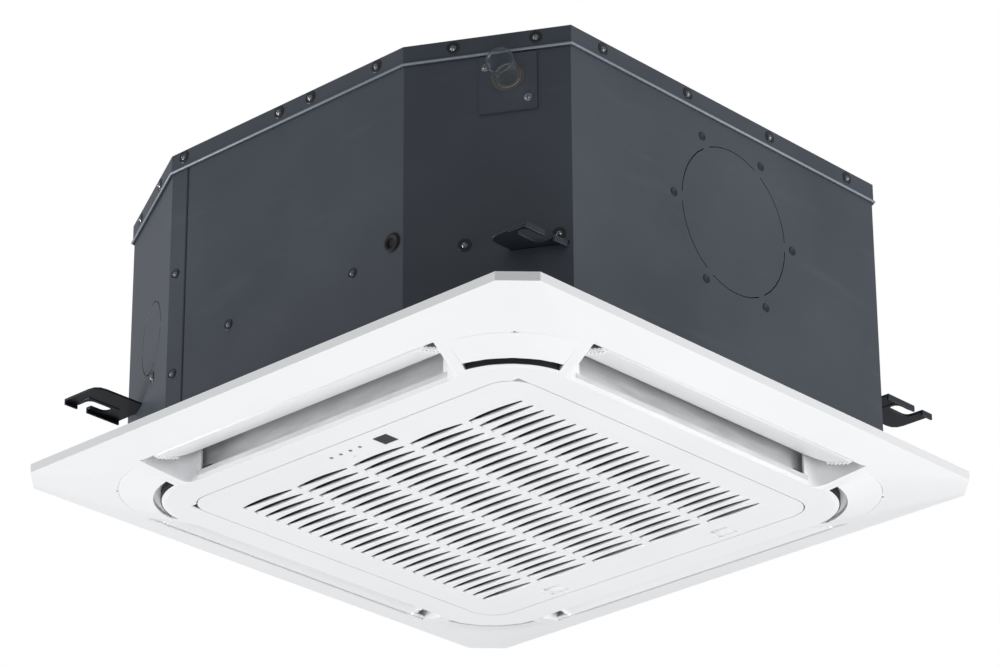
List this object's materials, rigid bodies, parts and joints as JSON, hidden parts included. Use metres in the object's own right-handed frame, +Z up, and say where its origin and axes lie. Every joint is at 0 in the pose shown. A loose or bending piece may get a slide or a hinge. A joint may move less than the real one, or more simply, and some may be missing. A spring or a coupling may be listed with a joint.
{
  "type": "four-way ceiling cassette fan coil unit",
  "caption": "Square ceiling cassette: a chamfered sheet-metal casing on slotted brackets over a white panel with louvred outlets round a slotted intake grille.",
  "frame": {"origin": "centre of the intake grille's underside, the lowest level of the unit", "axes": "+Z up towards the ceiling; X and Y along the panel's sides, with the grille's hinge on the -X side and its latches on the +X side"},
  "size_m": [0.647, 0.647, 0.315],
  "materials": {
    "casing_paint": "satin blue-grey paint on steel sheet",
    "galvanised_steel": "galvanised sheet",
    "panel_white": "satin white moulding",
    "duct_grey": "matt grey foam-faced moulding",
    "foam": "closed-cell foam",
    "pan_foam": "expanded polystyrene",
    "aluminium_fins": "bright fin pack",
    "copper_tube": "drawn copper",
    "brass_nut": "machined brass",
    "fan_plastic": "moulded",
    "motor_grey": "grey lacquer",
    "bright_steel": "bright",
    "black_rubber": "matt",
    "filter_mesh": "woven net in a frame",
    "smoked_plastic": "smoked, translucent",
    "circuit_board": "green laminate"
  },
  "bodies": {
    "casing": {"panel_frame": "panel_white", "corner_cover_north_east": "panel_white", "corner_cover_north_west": "panel_white", "corner_cover_south_west": "panel_white", "corner_cover_south_east": "panel_white", "outlet_duct_east": "duct_grey", "outlet_duct_north": "duct_grey", "outlet_duct_west": "duct_grey", "outlet_duct_south": "duct_grey", "louvre_motor_east": "motor_grey", "louvre_motor_north": "motor_grey", "louvre_motor_west": "motor_grey", "louvre_motor_south": "motor_grey", "hinge_pin_south": "bright_steel", "hinge_pin_north": "bright_steel", "casing_main": "casing_paint", "casing_corner_sheet": "casing_paint", "top_cover": "casing_paint", "side_insulation": "foam", "top_insulation": "foam", "hanger_bracket_south_east": "casing_paint", "hanger_bracket_north_west": "casing_paint", "hanger_bracket_south_west": "casing_paint", "hanger_bracket_north_east": "casing_paint", "cable_grommet": "black_rubber", "drain_pan": "pan_foam", "coil": "aluminium_fins", "coil_end_plate": "galvanised_steel", "flow_header": "copper_tube", "return_header": "copper_tube", "flow_union_nut": "brass_nut", "return_union_nut": "brass_nut", "drain_pump": "motor_grey", "drain_riser": "black_rubber", "drain_plate": "casing_paint", "drain_stub": "smoked_plastic", "fan_motor": "motor_grey", "bell_mouth": "galvanised_steel", "motor_plate": "galvanised_steel", "rubber_mount_1": "black_rubber", "rubber_mount_2": "black_rubber", "rubber_mount_3": "black_rubber", "control_box": "galvanised_steel", "control_box_cover": "galvanised_steel", "control_board": "circuit_board"},
    "fan": {"impeller": "fan_plastic", "motor_shaft": "bright_steel", "hub_nut": "bright_steel"},
    "louvre_east": {"louvre_east": "panel_white"},
    "louvre_north": {"louvre_north": "panel_white"},
    "louvre_west": {"louvre_west": "panel_white"},
    "louvre_south": {"louvre_south": "panel_white"},
    "grille": {"intake_grille": "panel_white", "air_filter": "filter_mesh", "receiver_window": "smoked_plastic", "display_board": "circuit_board"},
    "latch_south": {"grille_latch_south": "panel_white"},
    "latch_north": {"grille_latch_north": "panel_white"},
    "button": {"manual_button": "panel_white"},
    "float": {"drain_float": "fan_plastic"}
  },
  "joints": [
    {"name": "fan_spin", "type": "hinge", "parent": "casing", "child": "fan", "pos_m": [0, 0, 0.2], "axis": [0, 0, 1], "continuous": true},
    {"name": "louvre_tilt_east", "type": "hinge", "parent": "casing", "child": "louvre_east", "pos_m": [0.2835, 0, 0.0165], "axis": [0, 1, 0], "range_deg": [-36.5, 25]},
    {"name": "louvre_tilt_north", "type": "hinge", "parent": "casing", "child": "louvre_north", "pos_m": [0, 0.2835, 0.0165], "axis": [-1, 0, 0], "range_deg": [-36.5, 25]},
    {"name": "louvre_tilt_west", "type": "hinge", "parent": "casing", "child": "louvre_west", "pos_m": [-0.2835, 0, 0.0165], "axis": [0, -1, 0], "range_deg": [-36.5, 25]},
    {"name": "louvre_tilt_south", "type": "hinge", "parent": "casing", "child": "louvre_south", "pos_m": [0, -0.2835, 0.0165], "axis": [1, 0, 0], "range_deg": [-36.5, 25]},
    {"name": "grille_hinge", "type": "hinge", "parent": "casing", "child": "grille", "pos_m": [-0.1925, 0, 0.008], "axis": [0, 1, 0], "range_deg": [0, 90]},
    {"name": "latch_slide_south", "type": "slide", "parent": "grille", "child": "latch_south", "axis": [-1, 0, 0], "range_m": [0, 0.006]},
    {"name": "latch_slide_north", "type": "slide", "parent": "grille", "child": "latch_north", "axis": [-1, 0, 0], "range_m": [0, 0.006]},
    {"name": "button_press", "type": "slide", "parent": "grille", "child": "button", "axis": [0, 0, 1], "range_m": [0, 0.001], "stiffness_N_per_m": 300},
    {"name": "float_rise", "type": "slide", "parent": "casing", "child": "float", "axis": [0, 0, 1], "range_m": [0, 0.01]}
  ]
}
